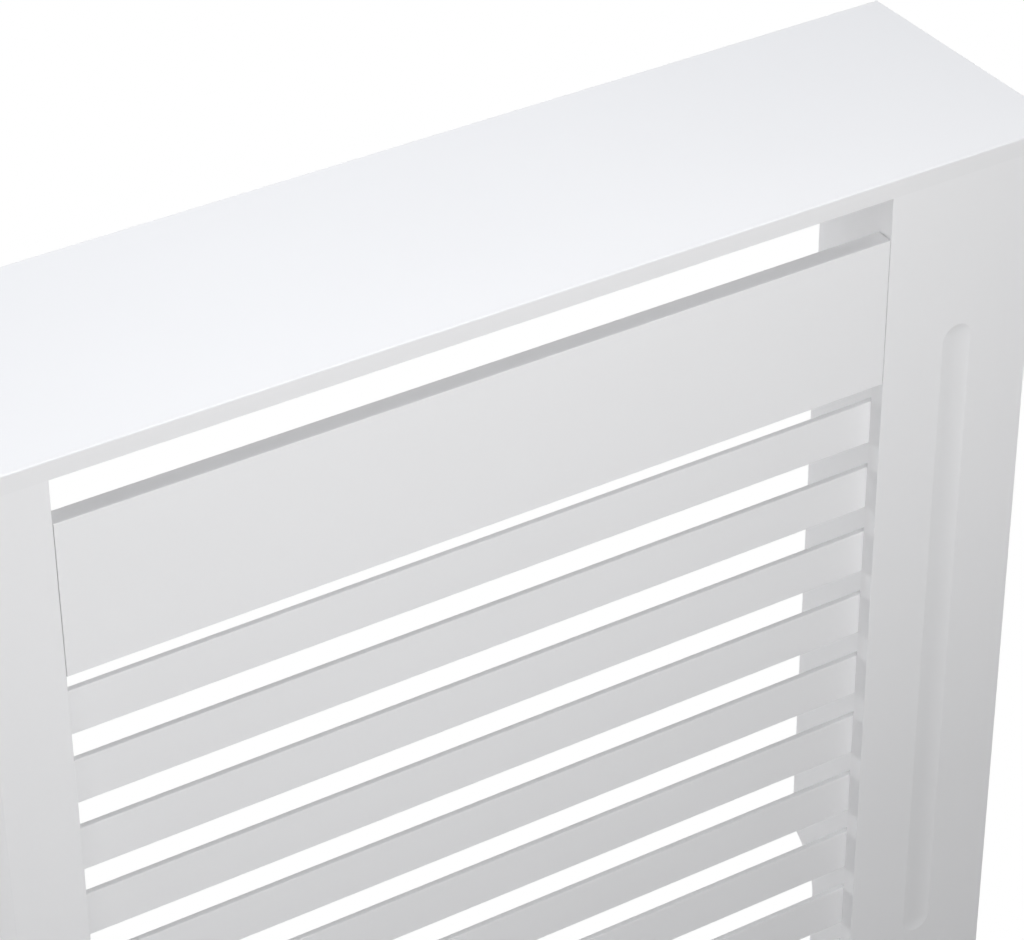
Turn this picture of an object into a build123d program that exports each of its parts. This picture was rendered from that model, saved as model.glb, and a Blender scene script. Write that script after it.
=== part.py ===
from build123d import *
import os

# Radiator cover cabinet, a flat-pack of painted 12 mm board.
# Millimetres. +X is the cabinet's right seen from the front, +Y runs back to the wall, +Z is up.
# The origin is on the floor, in the middle of the width and of the depth.

# ---- Whole cabinet ----
cabinet_height = 814.0
cabinet_depth = 190.0  # front face to wall
opening_width = 542.0  # between the two stiles

# ---- Front frame ----
stile_width = 109.0
frame_thickness = 12.0
vent_slot_height = 28.0  # open slot under the top board
upper_rail_height = 100.0
lower_rail_height = 100.0
floor_gap = 28.0  # open slot under the lower rail
rail_end_gap = 0.3  # shows as a seam at each end of a rail
front_edge_radius = 0.8  # eased front edges of stiles and rails

# ---- Grille ----
slat_count = 11  # the gaps are evened out over the grille's height
slat_height = 30.0
slat_thickness = 4.0
slat_overlap = 25.0  # how far a slat laps behind each stile
slat_seat_depth = 1.5  # depth of the rebate that the slat ends lie in
slat_end_clearance = 0.5
slat_edge_radius = 0.6

# ---- Flute on the face of each stile ----
flute_width = 21.0
flute_depth = 1.9
flute_length = 480.0
flute_top_margin = 104.0  # from the top of the stile to the flute's end

# ---- Top board ----
top_thickness = 12.0
top_side_overhang = 18.0  # past the stile's outer edge, at each end
top_edge_radius = 1.0

# ---- Side panels ----
side_thickness = 12.0
side_inset = 7.0  # the stile stands this far past the panel's outer face
notch_depth = 28.0  # skirting notch, from the wall
notch_straight_height = 114.0
notch_radius = 54.0  # curve from the notch's upright edge to the panel's back edge

# ---- Small fittings ----
small_round_sides = 12  # flats round a hidden dowel, cam, bolt or screw, and its hole

# ---- Dowels ----
dowel_diameter = 6.0
dowel_length = 30.0
dowel_clearance = 0.1  # all round
dowel_end_clearance = 0.4  # at the bottom of each hole
thin_hole_depth = 8.0  # how far a dowel goes into the face of a board
rail_dowel_margin = 25.0  # from a rail's long edge
top_dowel_spacing = 64.0
side_dowel_margin = 60.0  # from each end of the panel's front edge

# ---- Threads in board ----
thread_clearance = 0.05  # all round
thread_end_clearance = 0.3  # past the thread's tip

# ---- Cam fittings ----
cam_diameter = 12.0
cam_thickness = 9.5
cam_clearance = 0.2  # all round
cam_setback = 24.0  # from the panel's edge to the cam's centre
cam_cross_width = 1.4
cam_cross_length = 7.0
cam_cross_depth = 1.6
side_cam_count = 3
side_cam_margin = 110.0  # from each end of the panel to the nearest cam
top_cam_front_margin = 50.0  # from the panel's front edge
top_cam_back_margin = 60.0  # from the panel's back edge

# ---- Cam bolts ----
bolt_bite = 8.5  # threaded part in the mating board
bolt_thread_diameter = 5.8
bolt_collar_diameter = 6.6
bolt_collar_length = 1.2
bolt_shank_diameter = 4.0
bolt_head_diameter = 5.6
bolt_head_length = 2.4
bolt_pass = 1.5  # how far the bolt's tip goes past the cam's centre
bolt_clearance = 0.3  # all round its collar and head

# ---- Staples ----
staple_crown = 8.0
staple_wire_width = 1.2
staple_wire_thickness = 0.9
staple_bite = 7.0  # into the stile
staple_clearance = 0.1

# ---- Wall brackets ----
bracket_leg = 30.0
bracket_width = 20.0
bracket_thickness = 2.0
bracket_bend_radius = 2.0  # inside the bend
bracket_spacing = 400.0
wall_hole_diameter = 5.0
wall_hole_drop = 19.0  # below the underside of the top board

# ---- Bracket screws ----
screw_diameter = 3.5
screw_bite = 9.0  # into the top board
screw_head_diameter = 7.0
screw_head_height = 2.2
screw_hole_diameter = 4.0  # in the bracket
screw_spacing = 11.0
screw_front_margin = 6.5  # from the bracket's front edge

# ---- Worked out from the sizes above ----
body_height = cabinet_height - top_thickness
frame_width = opening_width + 2 * stile_width
top_width = frame_width + 2 * top_side_overhang
front_y = -cabinet_depth / 2
back_y = cabinet_depth / 2
frame_back_y = front_y + frame_thickness
frame_middle_y = front_y + frame_thickness / 2
slat_front_y = frame_back_y - slat_seat_depth
slat_back_y = slat_front_y + slat_thickness
opening_edge_x = opening_width / 2
frame_edge_x = frame_width / 2
stile_middle_x = opening_edge_x + stile_width / 2
side_outer_x = frame_edge_x - side_inset
side_inner_x = side_outer_x - side_thickness
side_middle_x = side_outer_x - side_thickness / 2
upper_rail_top = body_height - vent_slot_height
upper_rail_bottom = upper_rail_top - upper_rail_height
lower_rail_top = floor_gap + lower_rail_height
grille_height = upper_rail_bottom - lower_rail_top
slat_gap = (grille_height - slat_count * slat_height) / (slat_count + 1)
dowel_hole_diameter = dowel_diameter + 2 * dowel_clearance
thin_bite = thin_hole_depth - dowel_end_clearance
thick_hole_depth = dowel_length - thin_bite + dowel_end_clearance
rail_hole_depth = (dowel_length - rail_end_gap) / 2 + dowel_end_clearance
bolt_hole_diameter = bolt_thread_diameter + 2 * thread_clearance
bolt_hole_depth = bolt_bite + thread_end_clearance
bolt_bore_diameter = max(bolt_head_diameter, bolt_collar_diameter) + 2 * bolt_clearance
bolt_reach = cam_setback + bolt_pass

LEFT = -1
RIGHT = 1
SIDES = (LEFT, RIGHT)


def board(x_ends, y_ends, z_ends):
    """A rectangular block between two values on each axis."""
    ends = (x_ends, y_ends, z_ends)
    size = [abs(end - start) for start, end in ends]
    middle = [(start + end) / 2 for start, end in ends]
    return Pos(*middle) * Box(*size)


def round_bar(start, direction, length, diameter):
    """A round bar, or the hole that one leaves, from a start point along a direction."""
    from_start = (Align.CENTER, Align.CENTER, Align.MIN)
    return Plane(origin=start, z_dir=direction) * Cylinder(diameter / 2, length, align=from_start)


def small_bar(start, direction, *steps):
    """Coaxial bars end to end, each a length and a diameter, with flats in place of a round."""
    bar = Part()
    travelled = 0
    for length, diameter in steps:
        plane = Plane(origin=start, z_dir=direction).offset(travelled)
        section = plane * RegularPolygon(diameter / 2, small_round_sides)
        bar += extrude(section, length)
        travelled += length
    return bar


def front_edges(part):
    """The edges round a board's front face."""
    return part.faces().sort_by(Axis.Y)[0].edges()


def slat_middles():
    """Height of the middle of each slat, from the highest down."""
    pitch = slat_height + slat_gap
    highest = upper_rail_bottom - slat_gap - slat_height / 2
    return [highest - index * pitch for index in range(slat_count)]


def rail_dowel_heights(bottom, top):
    """Heights of the dowels in the ends of one rail."""
    return (bottom + rail_dowel_margin, top - rail_dowel_margin)


def all_rail_dowel_heights():
    """Heights of the dowels in the ends of both rails."""
    lower = rail_dowel_heights(floor_gap, lower_rail_top)
    return lower + rail_dowel_heights(upper_rail_bottom, upper_rail_top)


def top_dowel_places(side):
    """Points on the top edge of one stile where its dowels stand."""
    reach = top_dowel_spacing / 2
    middle = side * stile_middle_x
    return [(x, frame_middle_y, body_height) for x in (middle - reach, middle + reach)]


def side_dowel_places(side):
    """Points on the front edge of one side panel where its dowels stand."""
    heights = (side_dowel_margin, body_height - side_dowel_margin)
    return [(side * side_middle_x, frame_back_y, height) for height in heights]


def side_cam_places(side):
    """Points on the front edge of one side panel where its cam bolts cross it."""
    step = (body_height - 2 * side_cam_margin) / (side_cam_count - 1)
    heights = [side_cam_margin + index * step for index in range(side_cam_count)]
    return [(side * side_middle_x, frame_back_y, height) for height in heights]


def top_cam_places(side):
    """Points on the top edge of one side panel where its cam bolts cross it."""
    places_y = (frame_back_y + top_cam_front_margin, back_y - top_cam_back_margin)
    return [(side * side_middle_x, y, body_height) for y in places_y]


def cam_bolt_lines(side):
    """Each cam bolt of one side: where it crosses the panel's edge, and which way it enters."""
    lines = [(place, (0, 1, 0)) for place in side_cam_places(side)]
    return lines + [(place, (0, 0, -1)) for place in top_cam_places(side)]


def cam_centre(side, place, direction):
    """The centre of a cam's face, on the inner face of the side panel."""
    middle = Vector(*place) + Vector(*direction) * cam_setback
    return (side * side_inner_x, middle.Y, middle.Z)


def bracket_screw_places(side):
    """Points under the top board where one wall bracket's screws go in."""
    reach = screw_spacing / 2
    middle = side * bracket_spacing / 2
    y = back_y - bracket_leg + screw_front_margin
    return [(x, y, body_height) for x in (middle - reach, middle + reach)]


def staple_legs(side, height, y_ends, clearance):
    """The two legs of one staple, or the slots for them, between two depths."""
    middle = side * (opening_edge_x + slat_overlap / 2)
    leg_offset = (staple_crown - staple_wire_width) / 2
    half_width = staple_wire_width / 2 + clearance
    half_height = staple_wire_thickness / 2 + clearance
    z_ends = (height - half_height, height + half_height)
    legs = []
    for x in (middle - leg_offset, middle + leg_offset):
        legs.append(board((x - half_width, x + half_width), y_ends, z_ends))
    return legs


def make_flute(side):
    """A shallow round-bottomed groove with ball ends, to cut from a stile's face."""
    half = flute_width / 2
    radius = (half**2 + flute_depth**2) / (2 * flute_depth)
    x = side * stile_middle_x
    y = front_y + flute_depth - radius
    top = body_height - flute_top_margin - half
    bottom = top - flute_length + flute_width
    groove = round_bar((x, y, bottom), (0, 0, 1), top - bottom, 2 * radius)
    for end in (bottom, top):
        groove += Pos(x, y, end) * Sphere(radius)
    return groove


def make_stile(side):
    """A front upright with its flute, the rebate for the slat ends and the joint holes."""
    inner = side * opening_edge_x
    stile = board((inner, side * frame_edge_x), (front_y, frame_back_y), (0, body_height))
    stile = fillet(front_edges(stile).filter_by(Axis.Z), front_edge_radius)
    stile -= make_flute(side)
    rebate_x = (inner, side * (opening_edge_x + slat_overlap))
    stile -= board(rebate_x, (slat_front_y, frame_back_y), (lower_rail_top, upper_rail_bottom))
    for height in all_rail_dowel_heights():
        start = (inner, frame_middle_y, height)
        stile -= small_bar(start, (side, 0, 0), (rail_hole_depth, dowel_hole_diameter))
    for place in top_dowel_places(side):
        stile -= small_bar(place, (0, 0, -1), (thick_hole_depth, dowel_hole_diameter))
    for place in side_dowel_places(side):
        stile -= small_bar(place, (0, -1, 0), (thin_hole_depth, dowel_hole_diameter))
    for place in side_cam_places(side):
        stile -= small_bar(place, (0, -1, 0), (bolt_hole_depth, bolt_hole_diameter))
    slot_ends = (slat_front_y - staple_bite - staple_clearance, slat_front_y)
    for height in slat_middles():
        stile -= staple_legs(side, height, slot_ends, staple_clearance)
    return stile


def make_rail(bottom, top):
    """A wide board between the stiles, with two dowel holes in each end."""
    half = opening_edge_x - rail_end_gap
    rail = board((-half, half), (front_y, frame_back_y), (bottom, top))
    rail = fillet(front_edges(rail), front_edge_radius)
    for side in SIDES:
        for height in rail_dowel_heights(bottom, top):
            start = (side * half, frame_middle_y, height)
            rail -= small_bar(start, (-side, 0, 0), (rail_hole_depth, dowel_hole_diameter))
    return rail


def make_slat(middle):
    """One thin slat, with slots for the staple legs at both ends."""
    half = opening_edge_x + slat_overlap - slat_end_clearance
    z_ends = (middle - slat_height / 2, middle + slat_height / 2)
    slat = board((-half, half), (slat_front_y, slat_back_y), z_ends)
    slat = fillet(front_edges(slat).filter_by(Axis.X), slat_edge_radius)
    for side in SIDES:
        slat -= staple_legs(side, middle, (slat_front_y, slat_back_y), staple_clearance)
    return slat


def make_notch(side):
    """The skirting notch: an upright step whose curved top runs out at the panel's back edge."""
    step_y = back_y - notch_depth
    x_ends = (side * side_inner_x, side * side_outer_x)
    notch = board(x_ends, (step_y, back_y), (0, notch_straight_height))
    curve_centre = (side * side_inner_x, step_y + notch_radius, notch_straight_height)
    notch += round_bar(curve_centre, (side, 0, 0), side_thickness, 2 * notch_radius)
    return notch


def make_side_panel(side):
    """A side board with its skirting notch, cam pockets, bolt bores and dowel holes."""
    x_ends = (side * side_inner_x, side * side_outer_x)
    panel = board(x_ends, (frame_back_y, back_y), (0, body_height))
    panel -= make_notch(side)
    pocket = (cam_thickness + cam_clearance, cam_diameter + 2 * cam_clearance)
    for place, direction in cam_bolt_lines(side):
        panel -= small_bar(place, direction, (cam_setback, bolt_bore_diameter))
        panel -= small_bar(cam_centre(side, place, direction), (side, 0, 0), pocket)
    for place in side_dowel_places(side):
        panel -= small_bar(place, (0, 1, 0), (thick_hole_depth, dowel_hole_diameter))
    return panel


def make_top_board():
    """The shelf, with blind holes in its underside for dowels, cam bolts and bracket screws."""
    half = top_width / 2
    shelf = board((-half, half), (front_y, back_y), (body_height, cabinet_height))
    rim = shelf.faces().sort_by(Axis.Z)[-1].edges() + shelf.edges().filter_by(Axis.Z)
    shelf = fillet(rim, top_edge_radius)
    screw_hole = (screw_bite + thread_end_clearance, screw_diameter + 2 * thread_clearance)
    for side in SIDES:
        for place in top_dowel_places(side):
            shelf -= small_bar(place, (0, 0, 1), (thin_hole_depth, dowel_hole_diameter))
        for place in top_cam_places(side):
            shelf -= small_bar(place, (0, 0, 1), (bolt_hole_depth, bolt_hole_diameter))
        for place in bracket_screw_places(side):
            shelf -= small_bar(place, (0, 0, 1), screw_hole)
    return shelf


def make_dowel(joint, direction, bite):
    """One dowel across a joint, its tip a given depth past the joint along the direction."""
    start = Vector(*joint) + Vector(*direction) * (bite - dowel_length)
    return small_bar(start, direction, (dowel_length, dowel_diameter))


def make_rail_dowels():
    """Dowels between the rail ends and the stiles."""
    dowels = []
    joint_x = opening_edge_x - rail_end_gap / 2
    for side in SIDES:
        for height in all_rail_dowel_heights():
            joint = (side * joint_x, frame_middle_y, height)
            dowels.append(make_dowel(joint, (side, 0, 0), dowel_length / 2))
    return Compound(children=dowels)


def make_top_dowels():
    """Dowels between the stile tops and the top board."""
    places = top_dowel_places(LEFT) + top_dowel_places(RIGHT)
    return Compound(children=[make_dowel(place, (0, 0, 1), thin_bite) for place in places])


def make_side_dowels():
    """Dowels between the side panels and the backs of the stiles."""
    places = side_dowel_places(LEFT) + side_dowel_places(RIGHT)
    return Compound(children=[make_dowel(place, (0, -1, 0), thin_bite) for place in places])


def make_cam_bolt(place, direction):
    """One cam bolt: thread in the mating board, then collar, shank and head in the panel."""
    start = Vector(*place) - Vector(*direction) * bolt_bite
    shank_length = bolt_reach - bolt_collar_length - bolt_head_length
    thread = (bolt_bite, bolt_thread_diameter)
    collar = (bolt_collar_length, bolt_collar_diameter)
    shank = (shank_length, bolt_shank_diameter)
    head = (bolt_head_length, bolt_head_diameter)
    return small_bar(start, direction, thread, collar, shank, head)


def make_cam_nut(side, place, direction):
    """One cam, with a bore for the bolt's head and a cross recess in its face."""
    centre = cam_centre(side, place, direction)
    nut = small_bar(centre, (side, 0, 0), (cam_thickness, cam_diameter))
    bore_length = bolt_reach + bolt_clearance
    bore_diameter = bolt_head_diameter + 2 * bolt_clearance
    nut -= small_bar(place, direction, (bore_length, bore_diameter))
    face = Plane(origin=centre, z_dir=(side, 0, 0))
    from_face = (Align.CENTER, Align.CENTER, Align.MIN)
    nut -= face * Box(cam_cross_length, cam_cross_width, cam_cross_depth, align=from_face)
    nut -= face * Box(cam_cross_width, cam_cross_length, cam_cross_depth, align=from_face)
    return nut


def make_cam_fittings():
    """All the cam bolts and all the cams, as two groups."""
    bolts = []
    nuts = []
    for side in SIDES:
        for place, direction in cam_bolt_lines(side):
            bolts.append(make_cam_bolt(place, direction))
            nuts.append(make_cam_nut(side, place, direction))
    return Compound(children=bolts), Compound(children=nuts)


def make_staple(side, height):
    """One staple, driven from behind through a slat end into the stile."""
    tip_y = slat_front_y - staple_bite
    crown_ends = (slat_back_y, slat_back_y + staple_wire_thickness)
    middle = side * (opening_edge_x + slat_overlap / 2)
    half_crown = staple_crown / 2
    half_wire = staple_wire_thickness / 2
    x_ends = (middle - half_crown, middle + half_crown)
    staple = board(x_ends, crown_ends, (height - half_wire, height + half_wire))
    return staple + staple_legs(side, height, (tip_y, slat_back_y), 0)


def make_staples():
    """One staple for each slat end."""
    staples = [make_staple(side, height) for side in SIDES for height in slat_middles()]
    return Compound(children=staples)


def make_wall_bracket(side):
    """A bent steel angle: one leg under the top board, the other flat on the wall."""
    x = side * bracket_spacing / 2
    x_ends = (x - bracket_width / 2, x + bracket_width / 2)
    under = body_height - bracket_thickness
    wall_side = back_y - bracket_thickness
    bracket = board(x_ends, (back_y - bracket_leg, back_y), (under, body_height))
    bracket += board(x_ends, (wall_side, back_y), (body_height - bracket_leg, body_height))
    bends = bracket.edges().filter_by(Axis.X)
    outer_bend = bends.sort_by_distance((x, back_y, body_height))[0]
    inner_bend = bends.sort_by_distance((x, wall_side, under))[0]
    bracket = fillet(outer_bend, bracket_bend_radius + bracket_thickness)
    bracket = fillet(bracket.edges().sort_by_distance(inner_bend.center())[0], bracket_bend_radius)
    for place in bracket_screw_places(side):
        bracket -= small_bar(place, (0, 0, -1), (bracket_thickness, screw_hole_diameter))
    wall_hole = (x, back_y, body_height - wall_hole_drop)
    bracket -= round_bar(wall_hole, (0, -1, 0), bracket_thickness, wall_hole_diameter)
    return bracket


def make_bracket_screws():
    """Screws from below, through the brackets into the top board."""
    head = (screw_head_height, screw_head_diameter)
    shank = (bracket_thickness + screw_bite, screw_diameter)
    screws = []
    for side in SIDES:
        for place in bracket_screw_places(side):
            start = Vector(*place) - Vector(0, 0, bracket_thickness + screw_head_height)
            screws.append(small_bar(start, (0, 0, 1), head, shank))
    return Compound(children=screws)


def build_parts():
    """Every piece of the cabinet, by name."""
    parts = {
        "top_board": make_top_board(),
        "left_stile": make_stile(LEFT),
        "right_stile": make_stile(RIGHT),
        "left_side_panel": make_side_panel(LEFT),
        "right_side_panel": make_side_panel(RIGHT),
        "upper_rail": make_rail(upper_rail_bottom, upper_rail_top),
        "lower_rail": make_rail(floor_gap, lower_rail_top),
    }
    for number, middle in enumerate(slat_middles(), start=1):
        parts[f"slat_{number:02d}"] = make_slat(middle)
    parts["slat_staples"] = make_staples()
    parts["rail_dowels"] = make_rail_dowels()
    parts["top_dowels"] = make_top_dowels()
    parts["side_dowels"] = make_side_dowels()
    parts["cam_bolts"], parts["cam_nuts"] = make_cam_fittings()
    parts["left_wall_bracket"] = make_wall_bracket(LEFT)
    parts["right_wall_bracket"] = make_wall_bracket(RIGHT)
    parts["bracket_screws"] = make_bracket_screws()
    return parts


os.makedirs("parts", exist_ok=True)
for node, shape in build_parts().items():
    export_step(shape, f"parts/{node}.step")
print(f"{top_width:.0f} x {cabinet_depth:.0f} x {cabinet_height:.0f} mm, {slat_count} slats")
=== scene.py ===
import math

import bmesh
import bpy
from bpy.props import FloatProperty, FloatVectorProperty, IntProperty, PointerProperty
from mathutils import Euler, Matrix, Quaternion, Vector


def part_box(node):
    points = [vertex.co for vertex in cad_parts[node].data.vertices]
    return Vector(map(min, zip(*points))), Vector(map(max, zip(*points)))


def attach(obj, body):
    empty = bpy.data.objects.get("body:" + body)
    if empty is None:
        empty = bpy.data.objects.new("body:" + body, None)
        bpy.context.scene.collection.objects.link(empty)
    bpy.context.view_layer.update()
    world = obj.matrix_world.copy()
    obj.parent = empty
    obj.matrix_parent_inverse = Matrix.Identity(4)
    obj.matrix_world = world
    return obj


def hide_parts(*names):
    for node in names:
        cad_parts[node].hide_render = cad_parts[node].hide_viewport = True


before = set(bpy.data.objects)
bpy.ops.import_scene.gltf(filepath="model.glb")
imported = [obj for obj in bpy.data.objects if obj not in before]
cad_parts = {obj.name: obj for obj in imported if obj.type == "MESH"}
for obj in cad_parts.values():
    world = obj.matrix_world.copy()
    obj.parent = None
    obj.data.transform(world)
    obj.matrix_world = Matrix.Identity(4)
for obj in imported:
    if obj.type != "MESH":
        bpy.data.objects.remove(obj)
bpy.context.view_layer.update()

bl_info = {
    "name": "Radiator cover cabinet",
    "version": (1, 0, 0),
    "blender": (4, 5, 0),
    "location": "View3D > Sidebar > Radiator cover",
    "description": "Dresses the packed radiator cover cabinet and sets up its studio stage",
    "category": "Object",
}

MM = 0.001
X, Y, Z = 0, 1, 2
SIDES = {"left": -1, "right": 1}
SLAT_NODES = sorted(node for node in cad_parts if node[:5] == "slat_" and node[5:].isdigit())
DOWEL_NODES = ("rail_dowels", "top_dowels", "side_dowels")
CUT_OVERRUN = 1 * MM  # how far a cutting tool starts outside the board
HAIR = 1e-6  # levels closer than this count as one
WELD = 1e-7  # a piece's points closer than this are joined
FLAT = 0.9999  # the least part of a flat face's normal that lies along its axis
HIDDEN_SIDES = 24  # round a hole that no eye reaches
SHOWN_SIDES = 48  # round a fitting that shows from behind
SMOOTH_ANGLE = math.radians(35)
LAMP_TARGET = (0.0, -0.05, 0.55)  # the upper middle of the cabinet
UPPER_GRILLE = (0.05, -0.1, 0.72)  # where the beam falls
WHITE = (1.0, 1.0, 1.0)


# ---- Sizes and colours that a user would change ----


def linear(hex_code):
    """The linear colour of an sRGB hex code."""
    levels = [int(hex_code[i : i + 2], 16) / 255 for i in (0, 2, 4)]
    return [v / 12.92 if v <= 0.04045 else ((v + 0.055) / 1.055) ** 2.4 for v in levels]


def length(name, description, millimetres):
    """A property for a length, given in millimetres and kept in metres."""
    kind = {"min": 0.0, "precision": 5, "subtype": "DISTANCE", "unit": "LENGTH"}
    return FloatProperty(name=name, description=description, default=millimetres * MM, **kind)


def angle(name, description, degrees):
    """A property for an angle, given in degrees and kept in radians."""
    return FloatProperty(name=name, description=description, default=math.radians(degrees), subtype="ANGLE")


def share(name, description, amount):
    """A property for a share, from 0 to 1."""
    kind = {"min": 0.0, "max": 1.0, "subtype": "FACTOR"}
    return FloatProperty(name=name, description=description, default=amount, **kind)


def power(name, description, watts):
    """A property for a lamp's power in watts."""
    return FloatProperty(name=name, description=description, default=watts, min=0.0, unit="POWER")


def place(name, description, metres):
    """A property for a place or a reach along the three axes, in metres."""
    kind = {"size": 3, "subtype": "TRANSLATION", "unit": "LENGTH"}
    return FloatVectorProperty(name=name, description=description, default=metres, **kind)


def colour(name, description, hex_code):
    """A property for a colour, given as an sRGB hex code."""
    kind = {"size": 3, "min": 0.0, "max": 1.0, "subtype": "COLOR"}
    return FloatVectorProperty(name=name, description=description, default=linear(hex_code), **kind)


class BoardSizes(bpy.types.PropertyGroup):
    """Sizes of the painted boards that the frame's boxes don't give."""

    edge_radius: length("Edge radius", "Eased front edges of the stiles and rails", 0.4)
    shelf_edge_radius: length("Shelf edge radius", "Eased top rim of the top board", 1.0)
    panel_edge_radius: length("Panel edge radius", "Eased rims of the side panels", 0.4)
    rebate_clearance: length("Rebate clearance", "Room past a slat's end in its rebate", 0.5)
    flute_width: length("Flute width", "Width of the groove on each stile", 21.0)
    flute_depth: length("Flute depth", "Depth of the groove on each stile", 1.9)
    flute_length: length("Flute length", "Length of the groove with its ball ends", 480.0)
    flute_top_margin: length("Flute top margin", "Stile above the groove", 104.0)
    flute_rim_radius: length("Flute rim radius", "Paint-softened rim of the groove", 1.2)
    notch_depth: length("Notch depth", "Skirting notch, measured from the wall", 28.0)
    notch_height: length("Notch height", "Upright part of the skirting notch", 114.0)
    notch_radius: length("Notch radius", "Curve over the skirting notch", 54.0)


class GrilleSizes(bpy.types.PropertyGroup):
    """Sizes of the slats and their staples."""

    slat_edge_radius: length("Slat edge radius", "Eased long edges of a slat", 0.6)
    staple_wire: length("Staple wire", "Thickness of the staple wire", 0.9)
    staple_bend: length("Staple bend", "Radius of the wire's middle at a bend", 1.0)
    staple_clearance: length("Staple clearance", "Room round a staple leg", 0.1)
    staple_leg_inset: length("Staple leg inset", "From the crown's end to a leg's middle", 0.6)
    staple_leg_width: length("Staple leg width", "Width of a leg's slot without its room", 1.2)


class FittingSizes(bpy.types.PropertyGroup):
    """Sizes of the dowels, cams, bolts, screws and brackets."""

    dowel_clearance: length("Dowel clearance", "Room round a dowel", 0.1)
    dowel_end_clearance: length("Dowel end clearance", "Room past each end of a dowel", 0.4)
    dowel_ribs: IntProperty(name="Dowel ribs", description="Pressed ribs round a dowel", default=16, min=6)
    thread_clearance: length("Thread clearance", "Room round a thread", 0.05)
    thread_end_clearance: length("Thread end clearance", "Room past a thread's tip", 0.3)
    bolt_bite: length("Bolt bite", "Threaded part of a cam bolt", 8.5)
    bolt_thread: length("Bolt thread", "Outer diameter of a cam bolt's thread", 5.8)
    bolt_pitch: length("Bolt pitch", "Rise of a cam bolt's thread in one turn", 1.9)
    bolt_collar: length("Bolt collar", "Diameter of a cam bolt's collar", 6.6)
    bolt_collar_length: length("Bolt collar length", "Length of a cam bolt's collar", 1.2)
    bolt_shank: length("Bolt shank", "Diameter of a cam bolt's shank", 4.0)
    bolt_head: length("Bolt head", "Diameter of a cam bolt's head", 5.6)
    bolt_head_length: length("Bolt head length", "Length of a cam bolt's head", 2.4)
    bore_clearance: length("Bore clearance", "Room round a cam bolt in the panel", 0.3)
    cam_clearance: length("Cam clearance", "Room round a cam in its pocket", 0.2)
    cam_setback: length("Cam setback", "From a panel's edge to a cam's middle", 24.0)
    cam_cross_length: length("Cam cross length", "Length of the driving cross in a cam", 7.0)
    cam_cross_width: length("Cam cross width", "Width of the driving cross in a cam", 1.4)
    cam_cross_depth: length("Cam cross depth", "Depth of the driving cross in a cam", 1.6)
    screw_diameter: length("Screw diameter", "Outer diameter of a bracket screw", 3.5)
    screw_pitch: length("Screw pitch", "Rise of a bracket screw's thread in one turn", 1.5)
    screw_head: length("Screw head", "Diameter of a bracket screw's head", 7.0)
    screw_head_height: length("Screw head height", "Height of a bracket screw's head", 2.2)
    screw_hole: length("Screw hole", "Hole for a screw in a bracket", 4.0)
    bracket_thickness: length("Bracket thickness", "Sheet steel of the wall brackets", 2.0)
    bracket_bend: length("Bracket bend", "Inside radius of the bracket's bend", 2.0)
    bracket_corner: length("Bracket corner", "Rounded free corners of a bracket", 3.0)
    wall_hole: length("Wall hole", "Hole for the wall screw", 5.0)
    wall_hole_drop: length("Wall hole drop", "Wall hole below the top board", 19.0)


class FinishColours(bpy.types.PropertyGroup):
    """Colours of the finishes."""

    paint: colour("Paint", "Satin white paint on the board faces", "EFEFF0")
    paint_edge: colour("Paint on edges", "The same paint soaked into cut edges", "EDEDEE")
    beech: colour("Beech", "Turned beech of the dowels", "D8B48A")
    beech_grain: colour("Beech grain", "Darker growth rings and flecks of the beech", "B98A5C")
    zinc_plate: colour("Zinc plate", "Bright zinc plating on steel", "C9CDD3")
    zinc_casting: colour("Zinc casting", "Dull zinc alloy of the cams", "A6A8AB")
    galvanised: colour("Galvanised wire", "Zinc coat of the staple wire", "B7BABE")
    floor: colour("Floor", "Studio floor", "F4F4F5")


class StageSettings(bpy.types.PropertyGroup):
    """Camera, lamps and floor of the studio."""

    camera_place: place("Camera place", "Where the camera stands", (-0.90084, -1.58311, 1.89194))
    camera_azimuth: angle("Camera azimuth", "Turn of the view about Z, from straight on", -31.4716)
    camera_elevation: angle("Camera elevation", "How far the camera looks down", 34.1916)
    camera_roll: angle("Camera roll", "Turn of the camera about its line of sight", -0.4515)
    camera_lens: FloatProperty(name="Lens", description="Focal length in mm", default=131.478, min=1.0)
    key_power: power("Key power", "Softbox close over the front", 6.1)
    shelf_power: power("Shelf power", "Softbox above the top board", 20.8)
    shelf_colour: colour("Shelf colour", "Slightly cool light above the top board", "F9FBFF")
    front_power: power("Front power", "Low softbox that lifts the grille", 4.9)
    left_power: power("Left power", "Low softbox at the front left", 6.2)
    right_power: power("Right power", "Softbox at the right that keeps that side plain to see", 14.0)
    flank_power: power("Flank power", "Softbox at the left that keeps that side plain to see", 7.0)
    back_power: power("Back power", "Low softbox that lights the cabinet's inside", 25.0)
    beam_power: power("Beam power", "Gridded softbox at the front, on the upper grille", 0.32)
    grid_spread: angle("Grid spread", "Angle of the beam that a softbox with a grid gives", 31.0)
    fill: FloatProperty(name="Fill", description="Strength of the even room light", default=0.15, min=0.0)
    fill_colour: colour("Fill colour", "Tint of the even room light", "F7F8FA")
    floor_glow: share("Floor glow", "White that the camera sees on the near floor without a lamp", 0.27)
    floor_bounce: share("Floor bounce", "Share of the floor's colour that lights the object", 0.3)
    shadow_middle: place("Shadow middle", "Middle of the oval of floor with the shadow", (-0.1, -0.25, 0.0))
    shadow_reach: place("Shadow reach", "Half length and half width of that oval", (0.88, 0.48, 1.0))
    shadow_fade: share("Shadow fade", "Share of the oval's reach over which it turns to plain white", 0.35)


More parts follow.
